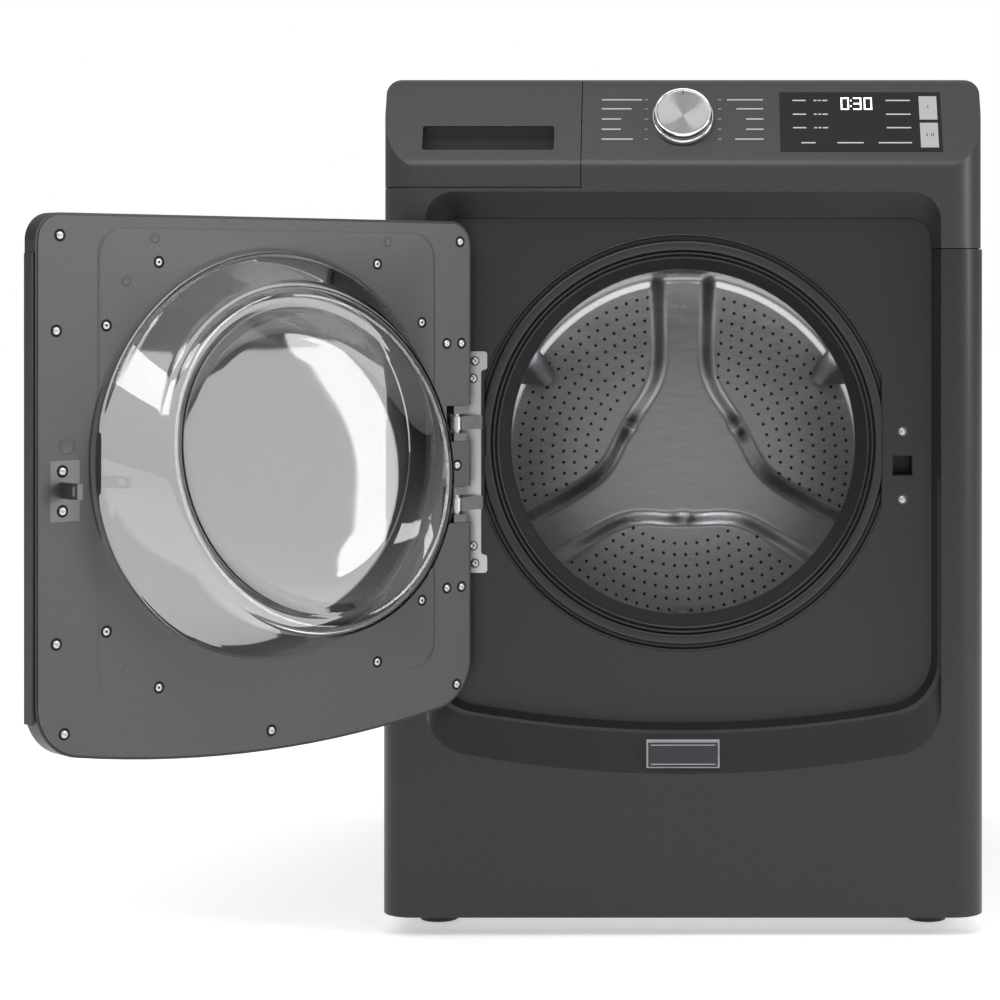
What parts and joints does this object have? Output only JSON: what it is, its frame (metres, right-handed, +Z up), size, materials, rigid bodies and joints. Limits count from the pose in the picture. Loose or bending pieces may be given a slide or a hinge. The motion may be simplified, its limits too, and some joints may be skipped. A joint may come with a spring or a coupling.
{
  "type": "front load washing machine",
  "caption": "Free-standing front-loading washing machine with a hinged round-window door, dispenser drawer, sloped control console and belt-driven drum on a sprung tub.",
  "frame": {"origin": "on the floor, under the middle of the cabinet's footprint", "axes": "+Z up, the front with the door faces -Y, +X is to the right seen from the front"},
  "size_m": [1.0025, 1.1476, 0.978],
  "materials": {
    "painted_slate": "satin metallic paint",
    "galvanised": "galvanised sheet",
    "console_slate": "satin moulded plastic with a metallic look",
    "black_gloss": "gloss",
    "silver_button": "satin silver",
    "chrome": "polished",
    "spun_metal": "spun",
    "black_plastic": "matte",
    "white_plastic": "matte",
    "grey_rubber": "matte",
    "clear_glass": "clear",
    "tinted_glass": "tinted",
    "stainless": "polished stainless",
    "tub_plastic": "moulded",
    "concrete": "cast",
    "cast_aluminium": "cast",
    "steel": "machined",
    "badge_metal": "satin"
  },
  "bodies": {
    "cabinet": {"badge_plate": "badge_metal", "base_frame": "galvanised", "bellows": "grey_rubber", "control_console": "console_slate", "control_unit": "black_plastic", "damper_rods": "steel", "dispenser_housing": "white_plastic", "display_panel": "black_gloss", "door_lock": "black_gloss", "drain_outlet": "black_plastic", "drain_pump": "black_plastic", "front_panel": "painted_slate", "front_screws": "chrome", "hinge_arms": "chrome", "hinge_bracket": "chrome", "inlet_valves": "white_plastic", "power_gland": "black_plastic", "rear_access_cover": "galvanised", "rear_panel": "galvanised", "side_panel_left": "painted_slate", "side_panel_right": "painted_slate", "sump_hose": "grey_rubber", "suspension_springs": "steel", "top_panel": "painted_slate", "top_rail": "galvanised"},
    "tub": {"tub_front": "tub_plastic", "tub_rear": "tub_plastic", "counterweights": "concrete", "drum_bearings": "steel", "drive_motor": "steel", "heating_element": "steel", "drive_belt": "grey_rubber", "damper_cylinders": "tub_plastic"},
    "drum": {"drum_basket": "stainless", "drum_rear_wall": "stainless", "baffle_1": "black_plastic", "baffle_2": "black_plastic", "baffle_3": "black_plastic", "drum_spider": "cast_aluminium", "drum_pulley": "cast_aluminium"},
    "motor_pulley": {"motor_pulley": "steel"},
    "door": {"door_outer_panel": "painted_slate", "door_inner_panel": "painted_slate", "door_window": "tinted_glass", "door_trim_ring": "black_gloss", "door_glass_bowl": "clear_glass", "door_handle": "black_gloss", "door_strike": "chrome", "hinge_plate": "chrome", "door_screws": "chrome"},
    "drawer": {"drawer_front": "console_slate", "drawer_tray": "white_plastic"},
    "knob": {"knob_ring": "chrome", "knob_cap": "spun_metal"},
    "power_button": {"power_button": "silver_button"},
    "start_button": {"start_button": "silver_button"},
    "levelling_foot_1": {"levelling_foot_1": "steel"},
    "levelling_foot_2": {"levelling_foot_2": "steel"},
    "levelling_foot_3": {"levelling_foot_3": "steel"},
    "levelling_foot_4": {"levelling_foot_4": "steel"}
  },
  "joints": [
    {"name": "tub_bounce", "type": "slide", "parent": "cabinet", "child": "tub", "axis": [0, 0, 1], "range_m": [-0.012, 0.012], "stiffness_N_per_m": 12000, "springref_m": 0.0425, "deforming": ["suspension_springs", "sump_hose"]},
    {"name": "drum_spin", "type": "hinge", "parent": "tub", "child": "drum", "pos_m": [0, -0.325, 0.557], "axis": [0, 0.9962, -0.0872], "continuous": true},
    {"name": "motor_spin", "type": "hinge", "parent": "tub", "child": "motor_pulley", "pos_m": [0, -0.35829, 0.17645], "axis": [0, 0.9962, -0.0872], "continuous": true},
    {"name": "door_hinge", "type": "hinge", "parent": "cabinet", "child": "door", "pos_m": [-0.2577, -0.373, 0.537], "axis": [0, 0, -1], "range_deg": [-136.6, 3.4], "deforming": ["bellows"]},
    {"name": "drawer_slide", "type": "slide", "parent": "cabinet", "child": "drawer", "axis": [0, -1, 0], "range_m": [0, 0.22]},
    {"name": "knob_turn", "type": "hinge", "parent": "cabinet", "child": "knob", "pos_m": [0, -0.346, 0.92996], "axis": [0, -0.866, 0.5], "continuous": true},
    {"name": "power_press", "type": "slide", "parent": "cabinet", "child": "power_button", "axis": [0, 0.866, -0.5], "range_m": [0, 0.001], "stiffness_N_per_m": 400, "springref_m": -0.001},
    {"name": "start_press", "type": "slide", "parent": "cabinet", "child": "start_button", "axis": [0, 0.866, -0.5], "range_m": [0, 0.001], "stiffness_N_per_m": 400, "springref_m": -0.001},
    {"name": "foot_1_turn", "type": "hinge", "parent": "cabinet", "child": "levelling_foot_1", "pos_m": [-0.285, -0.281, 0], "axis": [0, 0, 1], "continuous": true},
    {"name": "foot_2_turn", "type": "hinge", "parent": "cabinet", "child": "levelling_foot_2", "pos_m": [-0.285, 0.306, 0], "axis": [0, 0, 1], "continuous": true},
    {"name": "foot_3_turn", "type": "hinge", "parent": "cabinet", "child": "levelling_foot_3", "pos_m": [0.285, -0.281, 0], "axis": [0, 0, 1], "continuous": true},
    {"name": "foot_4_turn", "type": "hinge", "parent": "cabinet", "child": "levelling_foot_4", "pos_m": [0.285, 0.306, 0], "axis": [0, 0, 1], "continuous": true}
  ],
  "couplings": [
    {"joint": "motor_spin", "follows": "drum_spin", "ratio": 12.5}
  ]
}
